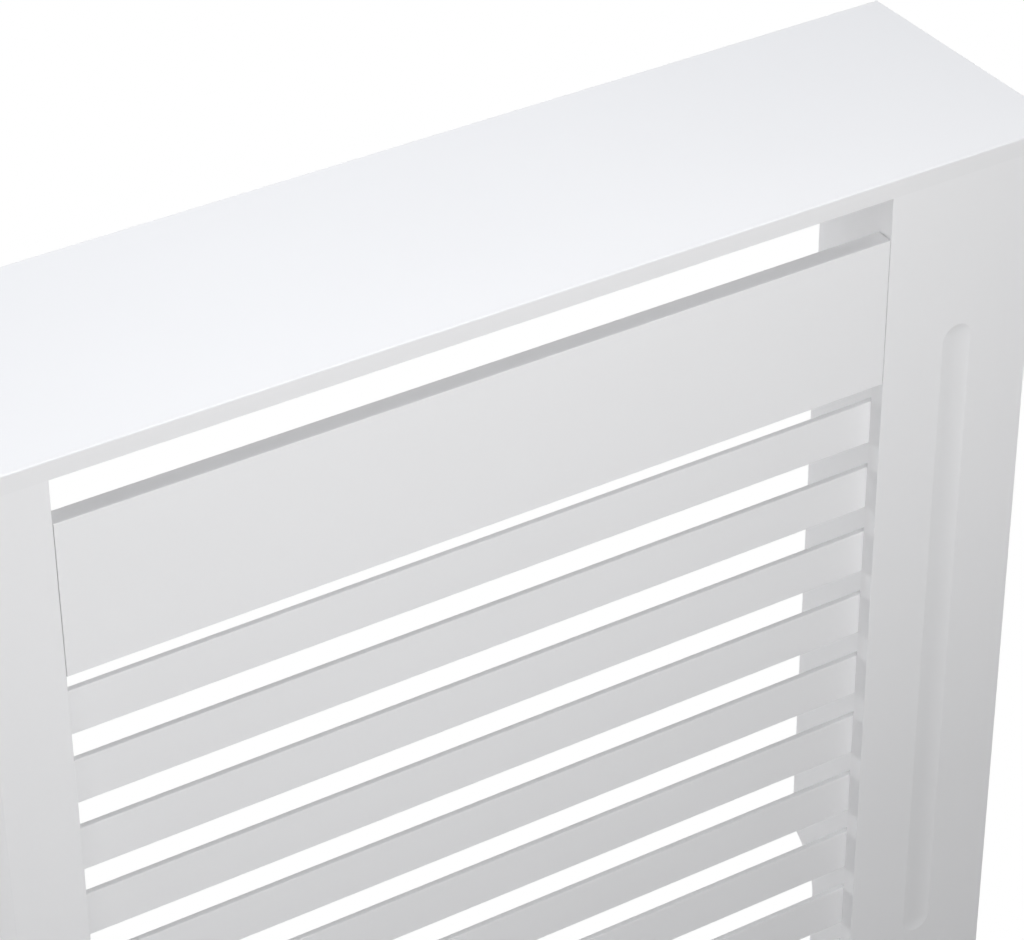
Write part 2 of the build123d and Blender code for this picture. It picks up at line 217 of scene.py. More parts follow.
class CabinetSettings(bpy.types.PropertyGroup):
    """Everything that the panel shows."""

    boards: PointerProperty(type=BoardSizes)
    grille: PointerProperty(type=GrilleSizes)
    fittings: PointerProperty(type=FittingSizes)
    colours: PointerProperty(type=FinishColours)
    stage: PointerProperty(type=StageSettings)


def settings():
    """The sizes and colours that the panel shows."""
    return bpy.context.scene.radiator_cover


# ---- Shapes ----


def new_object(name, data):
    """An object at the scene's origin."""
    made = bpy.data.objects.new(name, data)
    bpy.context.scene.collection.objects.link(made)
    return made


def new_piece(name, shape):
    """An object with a closed mesh, its faces pointing outwards."""
    bmesh.ops.remove_doubles(shape, verts=shape.verts, dist=WELD)
    bmesh.ops.recalc_face_normals(shape, faces=shape.faces)
    mesh = bpy.data.meshes.new(name)
    shape.to_mesh(mesh)
    shape.free()
    return new_object(name, mesh)


def remove(piece):
    """Takes a helper object and its mesh out of the file."""
    mesh = piece.data
    bpy.data.objects.remove(piece)
    bpy.data.meshes.remove(mesh)


def evaluated_mesh(piece):
    """The plain mesh that a piece's curve or modifiers make."""
    depsgraph = bpy.context.evaluated_depsgraph_get()
    return bpy.data.meshes.new_from_object(piece.evaluated_get(depsgraph), depsgraph=depsgraph)


def settle(piece):
    """Turns what a piece's modifiers make into its plain mesh."""
    old, made = piece.data, evaluated_mesh(piece)
    piece.modifiers.clear()
    piece.data = made
    bpy.data.meshes.remove(old)
    made.name = piece.name


def arc(centre, radius, start, end, steps):
    """The points of an arc as pairs, from one angle about its centre to another."""
    turns = [start + (end - start) * i / steps for i in range(steps + 1)]
    return [(centre[0] + radius * math.cos(turn), centre[1] + radius * math.sin(turn)) for turn in turns]


def add_block(shape, low, high):
    """Adds a box between two corners to a shape."""
    low, high = Vector(low), Vector(high)
    matrix = Matrix.Translation((low + high) / 2) @ Matrix.Diagonal([*(high - low), 1])
    return bmesh.ops.create_cube(shape, size=1, matrix=matrix)["verts"]


def add_rod(shape, start, end, radius, sides=HIDDEN_SIDES):
    """Adds a round rod between two points to a shape."""
    start, end = Vector(start), Vector(end)
    turn = (end - start).to_track_quat("Z", "Y").to_matrix().to_4x4()
    matrix = Matrix.Translation((start + end) / 2) @ turn
    size = {"radius1": radius, "radius2": radius, "depth": (end - start).length}
    bmesh.ops.create_cone(shape, cap_ends=True, segments=sides, matrix=matrix, **size)


def add_band(shape, ring, next_ring):
    """Joins two rings of points by a closed band of faces."""
    for i in range(len(ring)):
        j = (i + 1) % len(ring)
        shape.faces.new((ring[i], ring[j], next_ring[j], next_ring[i]))


def add_prism(shape, outline, low_x, high_x):
    """Adds an outline, given as pairs of y and z, drawn out along X."""
    left, right = [[shape.verts.new((x, y, z)) for y, z in outline] for x in (low_x, high_x)]
    shape.faces.new(left)
    shape.faces.new(right)
    add_band(shape, left, right)


def cut(piece, tools):
    """Cuts a shape of tools out of a piece."""
    tool = new_piece(piece.name + "_tools", tools)
    change = piece.modifiers.new("Cut", "BOOLEAN")
    change.operation = "DIFFERENCE"
    change.solver = "EXACT"
    change.use_self = True
    change.object = tool
    settle(piece)
    remove(tool)


def ease(shape, radius, *tests, segments=4):
    """Rounds the edges of a shape that one of the tests picks by their two ends."""
    bmesh.ops.recalc_face_normals(shape, faces=shape.faces)
    edges = [e for e in shape.edges if any(test(e.verts[0].co, e.verts[1].co) for test in tests)]
    bmesh.ops.bevel(shape, geom=edges, offset=radius, segments=segments, profile=0.5, affect="EDGES")


def both_at(axis, level):
    """A test for edges that lie at one level on an axis."""
    return lambda a, b: abs(a[axis] - level) < HAIR and abs(b[axis] - level) < HAIR


def solids_of(node):
    """The lowest and highest corner of each separate solid in a CAD node."""
    shape = bmesh.new()
    shape.from_mesh(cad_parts[node].data)
    bmesh.ops.remove_doubles(shape, verts=shape.verts, dist=HAIR)
    unseen = set(shape.verts)
    boxes = []
    while unseen:
        found = [unseen.pop()]
        for vert in found:
            near = {edge.other_vert(vert) for edge in vert.link_edges} & unseen
            unseen -= near
            found.extend(near)
        levels = list(zip(*(vert.co for vert in found)))
        boxes.append((Vector([min(level) for level in levels]), Vector([max(level) for level in levels])))
    shape.free()
    return sorted(boxes, key=lambda box: [round(v, 5) for v in (*box[0], *box[1])])


def long_axis(low, high):
    """The axis along which a box is longest."""
    return max(range(3), key=lambda i: high[i] - low[i])


def axis_vector(axis, sign=1):
    """A unit vector along an axis."""
    return Vector([sign if i == axis else 0 for i in range(3)])


def rod_way(low, high):
    """The way of a dowel or screw: up along its longest side."""
    return axis_vector(long_axis(low, high))


def bolt_way(low, high):
    """The way a cam bolt goes into its panel: back from a stile, or down from the shelf."""
    return axis_vector(Y) if long_axis(low, high) == Y else axis_vector(Z, -1)


def box_ends(low, high, way):
    """The two ends of a rod's middle line, the first where it starts its way."""
    middle = (low + high) / 2
    reach = (high - low).dot(Vector([abs(v) for v in way])) / 2
    return middle - way * reach, middle + way * reach


def fitting_holes(board_node):
    """Tools for every dowel, bolt, cam and screw hole in one board, in two lots."""
    sizes = settings().fittings
    board_low, board_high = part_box(board_node)
    holes, pockets = bmesh.new(), bmesh.new()

    def in_board(node):
        for low, high in solids_of(node):
            if all(low[i] < board_high[i] and high[i] > board_low[i] for i in range(3)):
                yield low, high

    for node in DOWEL_NODES:
        for low, high in in_board(node):
            way = rod_way(low, high)
            start, end = box_ends(low, high, way)
            room = way * sizes.dowel_end_clearance
            add_rod(holes, start - room, end + room, min(high - low) / 2 + sizes.dowel_clearance)
    for low, high in in_board("cam_bolts"):
        way = bolt_way(low, high)
        start = box_ends(low, high, way)[0]
        joint = start + way * sizes.bolt_bite
        if "panel" in board_node:
            radius = max(sizes.bolt_head, sizes.bolt_collar) / 2 + sizes.bore_clearance
            add_rod(holes, joint - way * CUT_OVERRUN, joint + way * sizes.cam_setback, radius)
        else:
            radius = sizes.bolt_thread / 2 + sizes.thread_clearance
            tip = start - way * sizes.thread_end_clearance
            add_rod(holes, tip, joint + way * CUT_OVERRUN, radius)
    for low, high in in_board("cam_nuts"):
        outwards = math.copysign(1, low.x)
        start, end = box_ends(low, high, axis_vector(X, outwards))
        start.x -= outwards * CUT_OVERRUN
        end.x += outwards * sizes.cam_clearance
        add_rod(pockets, start, end, (high.z - low.z) / 2 + sizes.cam_clearance, SHOWN_SIDES)
    for low, high in in_board("bracket_screws"):
        start, end = box_ends(low, high, axis_vector(Z))
        start.z = board_low.z - CUT_OVERRUN
        end.z += sizes.thread_end_clearance
        add_rod(holes, start, end, sizes.screw_diameter / 2 + sizes.thread_clearance)
    return holes, pockets


def staple_slots(start_y, end_y, side_signs=(-1, 1)):
    """Tools for the legs of the staples at one or both sides, between two depths."""
    sizes = settings().grille
    slots = bmesh.new()
    half_width = sizes.staple_leg_width / 2 + sizes.staple_clearance
    for low, high in solids_of("slat_staples"):
        if math.copysign(1, low.x) in side_signs:
            bottom, top = low.z - sizes.staple_clearance, high.z + sizes.staple_clearance
            for x in (low.x + sizes.staple_leg_inset, high.x - sizes.staple_leg_inset):
                add_block(slots, (x - half_width, start_y, bottom), (x + half_width, end_y, top))
    return slots


def finish(piece, nodes, materials=(), pick=None):
    """Smooths a piece, gives its faces their finishes and sets it on the frame."""
    mesh = piece.data
    if materials:
        mesh.materials.clear()
        for material in materials:
            mesh.materials.append(material)
        for face in mesh.polygons:
            face.material_index = pick(face) if pick else 0
    mesh.shade_smooth()
    mesh.set_sharp_from_angle(angle=SMOOTH_ANGLE)
    weighted = piece.modifiers.new("Flat faces stay flat", "WEIGHTED_NORMAL")
    weighted.keep_sharp = True
    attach(piece, "root")
    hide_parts(*nodes)


# ---- Materials ----


def set_inputs(tree, node, inputs):
    """Sets a node's inputs, by name or number, to values, sockets or other nodes' first outputs."""
    for key, value in inputs.items():
        source = value.outputs[0] if isinstance(value, bpy.types.Node) else value
        if isinstance(source, bpy.types.NodeSocket):
            tree.links.new(source, node.inputs[key])
        else:
            node.inputs[key].default_value = source


def add_node(tree, kind, inputs=None, **options):
    """Adds a node with its options and inputs."""
    node = tree.nodes.new(kind)
    for key, value in options.items():
        setattr(node, key, value)
    set_inputs(tree, node, inputs or {})
    return node


def surface(name, draw, *facts):
    """A material by its name; the first time, a function draws its nodes on the Object coordinates."""
    material = bpy.data.materials.get(name)
    if material is None:
        material = bpy.data.materials.new(name)
        material.use_nodes = True
        tree = material.node_tree
        spot = add_node(tree, "ShaderNodeTexCoord").outputs["Object"]
        set_inputs(tree, tree.nodes["Principled BSDF"], draw(tree, spot, *facts))
    return material


def rgba(shade, strength=1.0):
    """A colour with its alpha, darkened to a part of its strength."""
    return (*[v * strength for v in shade], 1.0)


def satin_paint(tree, spot, base, peel, peel_height, smoothest, roughest):
    """Satin acrylic paint sprayed on fibreboard.

    To the eye it is an even, slightly cool white with a soft broad sheen: a fine orange peel breaks
    the sheen up, slow waves from sanding move it, and the odd dust nib is caught in the film.
    """
    wave, wave_height, cloud, cloud_shade = 55 * MM, 0.12 * MM, 190 * MM, 0.965
    film, waves, clouds = (
        add_node(tree, "ShaderNodeTexNoise", {"Vector": spot, "Scale": 1 / size, "Detail": detail})
        for size, detail in ((peel, 2.0), (wave, 1.0), (cloud, 3.0))
    )
    shades = {"Factor": clouds, 6: rgba(base), 7: rgba(base, cloud_shade)}
    tone = add_node(tree, "ShaderNodeMix", shades, data_type="RGBA")
    # One cell of 45 mm in twelve holds a nib of dust 0.7 mm across.
    cell, nib_radius, nib_odds, nib_shade = 45 * MM, 0.35 * MM, 0.08, 0.42
    cells = add_node(tree, "ShaderNodeTexVoronoi", {"Vector": spot, "Scale": 1 / cell}, feature="F1")
    near = add_node(tree, "ShaderNodeMath", {0: cells, 1: nib_radius / cell}, operation="LESS_THAN")
    chance = add_node(tree, "ShaderNodeSeparateColor", {"Color": cells.outputs["Color"]})
    chosen = add_node(tree, "ShaderNodeMath", {0: chance, 1: nib_odds}, operation="LESS_THAN")
    nib = add_node(tree, "ShaderNodeMath", {0: near, 1: chosen}, operation="MULTIPLY")
    shades = {"Factor": nib, 6: tone.outputs[2], 7: rgba(base, nib_shade)}
    speckled = add_node(tree, "ShaderNodeMix", shades, data_type="RGBA")
    gloss = {"Value": waves, "From Min": 0.3, "From Max": 0.7, "To Min": smoothest, "To Max": roughest}
    sheen = add_node(tree, "ShaderNodeMapRange", gloss)
    slow = add_node(tree, "ShaderNodeBump", {"Distance": wave_height, "Height": waves})
    fine = add_node(tree, "ShaderNodeBump", {"Distance": peel_height, "Height": film, "Normal": slow})
    return {"Base Color": speckled.outputs[2], "Roughness": sheen, "Normal": fine, "IOR": 1.5}


def paints():
    """The paint on the boards' faces and on their cut or routed edges."""
    face, edge = settings().colours.paint, settings().colours.paint_edge
    # A cut edge drinks the paint, so it dries duller and its fibres stand up a little.
    return (
        surface("satin_white_paint_on_board", satin_paint, face, 2.2 * MM, 0.010 * MM, 0.36, 0.44),
        surface("satin_white_paint_on_cut_edge", satin_paint, edge, 0.9 * MM, 0.016 * MM, 0.48, 0.58),
    )


def turned_beech(tree, spot, axis):
    """Plain turned beech: pale pinkish wood with short brown flecks that run along the dowel."""
    colours, pore_depth = settings().colours, 0.05 * MM
    # Grain 0.5 mm wide and 9 mm long, with one fleck to each cell of 0.8 by 3 mm.
    grain, fleck = [1 / (0.5 * MM)] * 3, [1 / (0.8 * MM)] * 3
    grain[axis], fleck[axis] = 1 / (9 * MM), 1 / (3 * MM)
    along = add_node(tree, "ShaderNodeMapping", {"Vector": spot, "Scale": grain})
    rings = add_node(tree, "ShaderNodeTexNoise", {"Vector": along, "Scale": 1.0, "Detail": 4.0})
    spots = add_node(tree, "ShaderNodeMapping", {"Vector": spot, "Scale": fleck})
    rays = add_node(tree, "ShaderNodeTexVoronoi", {"Vector": spots, "Scale": 1.0})
    edge = {"Value": rays, "From Min": 0.1, "From Max": 0.25, "To Min": 0.7, "To Max": 0.0}
    ray = add_node(tree, "ShaderNodeMapRange", edge)
    mixed = add_node(tree, "ShaderNodeMath", {0: ray, 1: rings}, operation="MAXIMUM")
    shades = {"Factor": mixed, 6: rgba(colours.beech), 7: rgba(colours.beech_grain)}
    wood = add_node(tree, "ShaderNodeMix", shades, data_type="RGBA")
    pores = add_node(tree, "ShaderNodeBump", {"Distance": pore_depth, "Height": rings})
    return {"Base Color": wood.outputs[2], "Roughness": 0.62, "Normal": pores, "IOR": 1.5}


def zinc_metal(tree, spot, base, grain_size, grain_height, smoothest, roughest):
    """A zinc surface: a metal whose gloss and tone wander with a grain of the given size."""
    patch_size, patch_shade = 9 * MM, 0.86
    grain, patch = (
        add_node(tree, "ShaderNodeTexNoise", {"Vector": spot, "Scale": 1 / size, "Detail": detail})
        for size, detail in ((grain_size, 3.0), (patch_size, 2.0))
    )
    shades = {"Factor": patch, 6: rgba(base), 7: rgba(base, patch_shade)}
    tone = add_node(tree, "ShaderNodeMix", shades, data_type="RGBA")
    gloss = {"Value": grain, "From Min": 0.3, "From Max": 0.7, "To Min": smoothest, "To Max": roughest}
    sheen = add_node(tree, "ShaderNodeMapRange", gloss)
    relief = add_node(tree, "ShaderNodeBump", {"Distance": grain_height, "Height": grain})
    return {"Base Color": tone.outputs[2], "Roughness": sheen, "Normal": relief, "Metallic": 1.0}


def bright_zinc_plate():
    """Bright zinc plating on steel: a cool mirror dulled by fine crystals of 0.4 mm."""
    base = settings().colours.zinc_plate
    return surface("bright_zinc_plate", zinc_metal, base, 0.4 * MM, 0.004 * MM, 0.24, 0.38)


def zinc_die_casting():
    """Die-cast zinc alloy as it leaves the mould: grey, matt and faintly pebbled at 0.3 mm."""
    base = settings().colours.zinc_casting
    return surface("zinc_die_casting", zinc_metal, base, 0.3 * MM, 0.02 * MM, 0.46, 0.6)


def galvanised_wire():
    """Galvanised wire: a soft grey metal sheen with small spangles of 0.6 mm."""
    base = settings().colours.galvanised
    return surface("galvanised_wire", zinc_metal, base, 0.6 * MM, 0.006 * MM, 0.34, 0.5)


# ---- Boards ----


def is_plane(axis, level=None):
    """Picks the finish of a face: 0 on the board's broad faces, 1 on its edges."""

    def pick(face):
        flat = abs(face.normal[axis]) > FLAT
        if flat and level is not None and face.normal[axis] < 0:
            flat = abs(face.center[axis] - level) < HAIR
        return 0 if flat else 1

    return pick


def finish_board(board, node, axis, level=None):
    """Drills a board for its fittings and paints it."""
    for tools in fitting_holes(node):
        if tools.faces:
            cut(board, tools)
        else:
            tools.free()
    finish(board, [node], paints(), is_plane(axis, level))


def flute_profile(sizes):
    """Distance from the flute's middle line and depth below the face, from the rim inwards."""
    half, depth, rim = sizes.flute_width / 2, sizes.flute_depth, sizes.flute_rim_radius
    cove = (half**2 + depth**2) / (2 * depth)
    rim_start = math.sqrt((cove + rim) ** 2 - (rim + cove - depth) ** 2)
    rim_end = rim_start * cove / (cove + rim)
    rim_steps, cove_steps = 6, 14
    profile = []
    for i in range(rim_steps):
        turn = (i / rim_steps) * math.asin(rim_start / (cove + rim))
        profile.append((rim_start - rim * math.sin(turn), rim - rim * math.cos(turn)))
    for i in range(cove_steps):
        reach = rim_end * (1 - i / cove_steps)
        profile.append((reach, math.sqrt(cove**2 - reach**2) + depth - cove))
    return profile


def add_fluted_stile(shape, low, high, sizes):
    """Adds an upright board with eased front edges and a flute with ball ends in its face."""
    radius, ease_steps, end_steps = sizes.edge_radius, 4, 32
    middle, front = (low.x + high.x) / 2, low.y
    outline = [(middle, front)]
    outline += arc((high.x - radius, front + radius), radius, -math.pi / 2, 0, ease_steps)
    outline += [(high.x, high.y), (low.x, high.y)]
    outline += arc((low.x + radius, front + radius), radius, -math.pi, -math.pi / 2, ease_steps)
    bottom, top = [[shape.verts.new((x, y, z)) for x, y in outline] for z in (low.z, high.z)]
    shape.faces.new(bottom)
    shape.faces.new(top)
    for i in range(1, len(outline) - 1):
        shape.faces.new((bottom[i], bottom[i + 1], top[i + 1], top[i]))
    spine_top = high.z - sizes.flute_top_margin - sizes.flute_width / 2
    spine_bottom = spine_top - sizes.flute_length + sizes.flute_width
    rings = []
    for reach, depth in flute_profile(sizes):
        ring = arc((middle, spine_top), reach, 0, math.pi, end_steps)
        ring += arc((middle, spine_bottom), reach, math.pi, 2 * math.pi, end_steps)
        rings.append([shape.verts.new((x, front + depth, z)) for x, z in ring])
    for outer, inner in zip(rings, rings[1:]):
        add_band(shape, outer, inner)
    poles = [shape.verts.new((middle, front + sizes.flute_depth, z)) for z in (spine_top, spine_bottom)]
    last = rings[-1]
    for pole, start in zip(poles, (0, end_steps + 1)):
        for i in range(start, start + end_steps):
            shape.faces.new((last[i], last[i + 1], pole))
    shape.faces.new((last[end_steps], last[end_steps + 1], poles[1], poles[0]))
    shape.faces.new((last[-1], last[0], poles[0], poles[1]))
    # The board's face is two halves that meet above and below the flute.
    rim, crown, foot = rings[0], end_steps // 2, end_steps + 1 + end_steps // 2
    shape.faces.new([top[0], top[1], bottom[1], bottom[0], *rim[foot:], *rim[: crown + 1]])
    shape.faces.new([bottom[0], bottom[-1], top[-1], top[0], *rim[crown : foot + 1]])


class MakeTopBoard(bpy.types.Operator):
    """Makes the shelf with its eased rim and the blind holes underneath"""

    bl_idname = "radiator_cover.make_top_board"
    bl_label = "Top board"

    def execute(self, context):
        low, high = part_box("top_board")
        shape = bmesh.new()
        add_block(shape, low, high)
        radius = settings().boards.shelf_edge_radius
        ease(shape, radius, both_at(Z, high.z), lambda a, b: abs(a.z - b.z) > HAIR)
        finish_board(new_piece("painted_top_board", shape), "top_board", Z)
        return {"FINISHED"}


class MakeStiles(bpy.types.Operator):
    """Makes the two fluted front uprights with the rebate for the slat ends"""

    bl_idname = "radiator_cover.make_stiles"
    bl_label = "Stiles"

    def execute(self, context):
        boards = settings().boards
        slat_low, slat_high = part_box(SLAT_NODES[0])
        grille_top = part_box("upper_rail")[0].z
        grille_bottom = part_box("lower_rail")[1].z
        tip = min(low.y for low, high in solids_of("slat_staples")) - settings().grille.staple_clearance
        for side, sign in SIDES.items():
            node = f"{side}_stile"
            low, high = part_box(node)
            shape = bmesh.new()
            add_fluted_stile(shape, low, high, boards)
            stile = new_piece(f"{side}_fluted_stile", shape)
            inner, slat_end = (low.x, slat_high.x) if sign > 0 else (high.x, slat_low.x)
            xs = sorted((inner - sign * CUT_OVERRUN, slat_end + sign * boards.rebate_clearance))
            rebate = bmesh.new()
            back = high.y + CUT_OVERRUN
            add_block(rebate, (xs[0], slat_low.y, grille_bottom), (xs[1], back, grille_top))
            cut(stile, rebate)
            cut(stile, staple_slots(tip, slat_low.y + CUT_OVERRUN, (sign,)))
            finish_board(stile, node, Y, low.y)
        return {"FINISHED"}


class MakeRails(bpy.types.Operator):
    """Makes the two wide boards between the stiles"""

    bl_idname = "radiator_cover.make_rails"
    bl_label = "Rails"

    def execute(self, context):
        for node in ("upper_rail", "lower_rail"):
            low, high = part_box(node)
            shape = bmesh.new()
            add_block(shape, low, high)
            ease(shape, settings().boards.edge_radius, both_at(Y, low.y))
            finish_board(new_piece("painted_" + node, shape), node, Y)
        return {"FINISHED"}


class MakeSidePanels(bpy.types.Operator):
    """Makes the two side boards with their skirting notch, cam pockets and bores"""

    bl_idname = "radiator_cover.make_side_panels"
    bl_label = "Side panels"

    def execute(self, context):
        sizes, notch_steps = settings().boards, 40
        for side in SIDES:
            node = f"{side}_side_panel"
            low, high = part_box(node)
            step = high.y - sizes.notch_depth
            centre = (step + sizes.notch_radius, low.z + sizes.notch_height)
            end = math.acos((high.y - centre[0]) / sizes.notch_radius)
            outline = [(low.y, low.z), (step, low.z)]
            outline += arc(centre, sizes.notch_radius, math.pi, end, notch_steps)
            outline += [(high.y, high.z), (low.y, high.z)]
            shape = bmesh.new()
            add_prism(shape, outline, low.x, high.x)
            ease(shape, sizes.panel_edge_radius, both_at(X, low.x), both_at(X, high.x), segments=2)
            finish_board(new_piece("painted_" + node, shape), node, X)
        return {"FINISHED"}


# ---- Geometry Nodes: the slats by a rule, and the fittings at their places ----


def new_tree(name, sockets):
    """A Geometry Nodes tree with named inputs, and the sockets that give them."""
    tree = bpy.data.node_groups.new(name, "GeometryNodeTree")
    tree.interface.new_socket("Geometry", in_out="OUTPUT", socket_type="NodeSocketGeometry")
    for socket, kind in {"Geometry": "Geometry", **sockets}.items():
        tree.interface.new_socket(socket, in_out="INPUT", socket_type="NodeSocket" + kind)
    return tree, add_node(tree, "NodeGroupInput").outputs


def run_tree(piece, tree, values):
    """Runs a tree on a piece with its inputs set, and keeps what it makes as a plain mesh."""
    change = piece.modifiers.new(tree.name, "NODES")
    change.node_group = tree
    for socket in tree.interface.items_tree:
        if socket.in_out == "INPUT" and socket.name in values:
            change[socket.identifier] = values[socket.name]
    settle(piece)


def end_tree(tree, copies, material):
    """Ends a tree by making its copies real and giving them their finish."""
    real = add_node(tree, "GeometryNodeRealizeInstances", {"Geometry": copies})
    finished = add_node(tree, "GeometryNodeSetMaterial", {"Geometry": real, "Material": material})
    add_node(tree, "NodeGroupOutput", {"Geometry": finished})


def slat_tree():
    """One slat, and then as many as are asked for, one below the other."""
    lengths = ("Length", "Height", "Thickness", "Edge radius", "Pitch")
    sockets = {"Count": "Int", "First": "Vector", "Finish": "Material", **dict.fromkeys(lengths, "Float")}
    tree, given = new_tree("Slats", sockets)
    size = {"Width": given["Height"], "Height": given["Thickness"]}
    section = add_node(tree, "GeometryNodeCurvePrimitiveQuadrilateral", size)
    corner = {"Curve": section, "Count": 4, "Radius": given["Edge radius"]}
    eased = add_node(tree, "GeometryNodeFilletCurve", corner, mode="POLY")
    ends = []
    for side in (-0.5, 0.5):
        half = add_node(tree, "ShaderNodeMath", {0: given["Length"], 1: side}, operation="MULTIPLY")
        ends.append(add_node(tree, "ShaderNodeCombineXYZ", {"Z": half}))
    line = add_node(tree, "GeometryNodeCurvePrimitiveLine", {"Start": ends[0], "End": ends[1]})
    sweep = {"Curve": line, "Profile Curve": eased, "Fill Caps": True}
    swept = add_node(tree, "GeometryNodeCurveToMesh", sweep)
    lying = add_node(tree, "GeometryNodeTransform", {"Geometry": swept, "Rotation": (0, math.pi / 2, 0)})
    drop = add_node(tree, "ShaderNodeMath", {0: given["Pitch"], 1: -1.0}, operation="MULTIPLY")
    step = add_node(tree, "ShaderNodeCombineXYZ", {"Z": drop})
    column = {"Count": given["Count"], "Start Location": given["First"], "Offset": step}
    places = add_node(tree, "GeometryNodeMeshLine", column)
    slats = add_node(tree, "GeometryNodeInstanceOnPoints", {"Points": places, "Instance": lying})
    end_tree(tree, slats, given["Finish"])
    return tree


def fitting_tree():
    """A copy of one fitting at each point, turned as the point says and spun about its own axis."""
    tree = bpy.data.node_groups.get("Fittings")
    if tree:
        return tree
    sockets = {"Fitting": "Object", "Finish": "Material", "Spin": "Float", "Seed": "Int"}
    tree, given = new_tree("Fittings", sockets)
    fitting = add_node(tree, "GeometryNodeObjectInfo", {"Object": given["Fitting"]})
    turn = add_node(tree, "GeometryNodeInputNamedAttribute", {"Name": "turn"}, data_type="FLOAT_VECTOR")
    rotation = add_node(tree, "FunctionNodeEulerToRotation", {0: turn})
    draw = {2: 0.0, 3: given["Spin"], "Seed": given["Seed"]}
    chance = add_node(tree, "FunctionNodeRandomValue", draw, data_type="FLOAT")
    about = add_node(tree, "ShaderNodeCombineXYZ", {"Z": chance.outputs[1]})
    spin = add_node(tree, "FunctionNodeEulerToRotation", {0: about})
    turned = add_node(tree, "FunctionNodeRotateRotation", {0: rotation, 1: spin}, rotation_space="LOCAL")
    copy = {"Points": given["Geometry"], "Instance": fitting.outputs["Geometry"], "Rotation": turned}
    end_tree(tree, add_node(tree, "GeometryNodeInstanceOnPoints", copy), given["Finish"])
    return tree


def repeat_fitting(name, node, fitting, places, material, spin=0.0, seed=7):
    """Puts copies of a fitting at places and turns, as the one piece that stands for a CAD node."""
    mesh = bpy.data.meshes.new(name)
    mesh.from_pydata([point for point, _ in places], [], [])
    turns = mesh.attributes.new("turn", "FLOAT_VECTOR", "POINT")
    for kept, (_, turn) in zip(turns.data, places):
        kept.vector = turn.to_euler()
    piece = new_object(name, mesh)
    run_tree(piece, fitting_tree(), {"Fitting": fitting, "Finish": material, "Spin": spin, "Seed": seed})
    remove(fitting)
    finish(piece, [node])


def facing(way, across=None):
    """A turn that takes Z to a way, and X as near as it can to another."""
    along = Vector(way).normalized()
    across = Vector(across) if across else along.orthogonal()
    side = (across - along * across.dot(along)).normalized()
    return Matrix((side, along.cross(side), along)).transposed().to_quaternion()


def rod_places(boxes, way_of):
    """Where each rod starts and how it is turned, for the way that a function gives its box."""
    ways = [way_of(*box) for box in boxes]
    return [(box_ends(*box, way)[0], facing(way)) for box, way in zip(boxes, ways)]


class MakeSlats(bpy.types.Operator):
    """Makes the slats of the grille"""

    bl_idname = "radiator_cover.make_slats"
    bl_label = "Slats"

    def execute(self, context):
        grille = settings().grille
        low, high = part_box(SLAT_NODES[0])
        values = {
            "Count": len(SLAT_NODES),
            "First": (low + high) / 2,
            "Length": high.x - low.x,
            "Height": high.z - low.z,
            "Thickness": high.y - low.y,
            "Edge radius": grille.slat_edge_radius,
            "Pitch": (low.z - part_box(SLAT_NODES[-1])[0].z) / (len(SLAT_NODES) - 1),
            "Finish": paints()[0],
        }
        slats = new_object("slat_grille", bpy.data.meshes.new("slat_grille"))
        run_tree(slats, slat_tree(), values)
        cut(slats, staple_slots(low.y - CUT_OVERRUN, high.y + CUT_OVERRUN))
        finish(slats, SLAT_NODES, paints(), is_plane(Y))
        return {"FINISHED"}


class MakeStaples(bpy.types.Operator):
    """Makes the staples that hold the slat ends"""

    bl_idname = "radiator_cover.make_staples"
    bl_label = "Slat staples"

    def execute(self, context):
        sizes, bend_steps = settings().grille, 5
        boxes = solids_of("slat_staples")
        size = boxes[0][1] - boxes[0][0]
        wire, bend = sizes.staple_wire, sizes.staple_bend
        leg = -(size.x - wire) / 2
        corner = arc((leg + bend, wire / 2 + bend), bend, math.pi, 1.5 * math.pi, bend_steps)
        line = [(leg, size.y), *corner]
        line += [(-x, z) for x, z in reversed(line)]
        path = bpy.data.curves.new("staple_path", "CURVE")
        path.dimensions = "3D"
        path.bevel_depth = wire / 2
        path.bevel_resolution = 2
        path.use_fill_caps = True
        spline = path.splines.new("POLY")
        spline.points.add(len(line) - 1)
        for point, (x, z) in zip(spline.points, line):
            point.co = (x, 0, z, 1)
        bent = new_object("staple_path", path)
        staple = new_object("staple", evaluated_mesh(bent))
        bpy.data.objects.remove(bent)
        bpy.data.curves.remove(path)
        inwards = facing((0, -1, 0), (1, 0, 0))
        places = [(Vector(((a.x + b.x) / 2, b.y, (a.z + b.z) / 2)), inwards) for a, b in boxes]
        metal = galvanised_wire()
        repeat_fitting("driven_staples", "slat_staples", staple, places, metal)
        return {"FINISHED"}


# ---- Turned and cast fittings ----


def add_turned(shape, rings, sides, relief=None):
    """Adds a turned body along Z from rings of height and radius, with an optional relief."""
    loops = []
    for z, radius in rings:
        loop = []
        for i in range(sides):
            turn = 2 * math.pi * i / sides
            reach = radius + (relief(turn, z, radius) if relief else 0.0)
            loop.append(shape.verts.new((reach * math.cos(turn), reach * math.sin(turn), z)))
        loops.append(loop)
    for below, above in zip(loops, loops[1:]):
        add_band(shape, below, above)
    shape.faces.new(loops[0])
    shape.faces.new(loops[-1])


def thread(pitch, start, end, height):
    """A helical relief between two heights that runs out at both ends."""
    flank = 3.2  # the steepness of the ridge, whose foot takes 2 / 3.2 of the pitch

    def relief(turn, z, radius):
        if not start < z < end:
            return 0.0
        fade = min(1.0, (z - start) / pitch, (end - z) / pitch)
        phase = (z / pitch - turn / (2 * math.pi)) % 1.0
        return height * fade * max(0.0, 1 - abs(phase - 0.5) * flank)

    return relief


